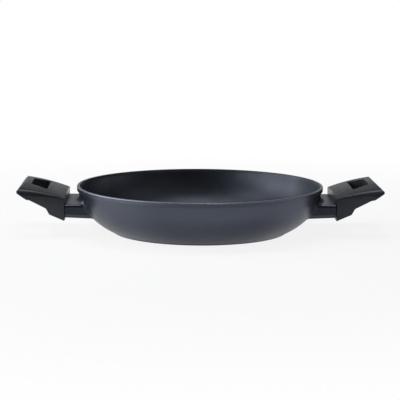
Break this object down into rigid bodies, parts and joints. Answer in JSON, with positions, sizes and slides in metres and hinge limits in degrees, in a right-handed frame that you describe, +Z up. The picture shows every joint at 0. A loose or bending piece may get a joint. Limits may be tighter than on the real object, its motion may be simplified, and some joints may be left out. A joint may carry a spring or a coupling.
{
  "type": "two-handled frying pan",
  "caption": "Shallow round non-stick serving pan with a raised lip, cast side lugs and wide moulded grips with finger openings.",
  "frame": {"origin": "middle of the base at the level it stands on", "axes": "+Z up, X along the line of the two handles, Y across it"},
  "size_m": [0.417, 0.2866, 0.0589],
  "materials": {
    "nonstick_coating": "dark grey satin non-stick coating with a fine grain over cast aluminium",
    "base_steel": "turned, with concentric grooves",
    "bakelite": "black satin moulded phenolic",
    "fastener_steel": "plain machined"
  },
  "bodies": {
    "root": {"pan_body": "nonstick_coating", "induction_base_plate": "base_steel", "handle_left": "bakelite", "handle_right": "bakelite", "handle_screws_left": "fastener_steel", "handle_screws_right": "fastener_steel", "lock_washers_left": "fastener_steel", "lock_washers_right": "fastener_steel"}
  },
  "joints": []
}
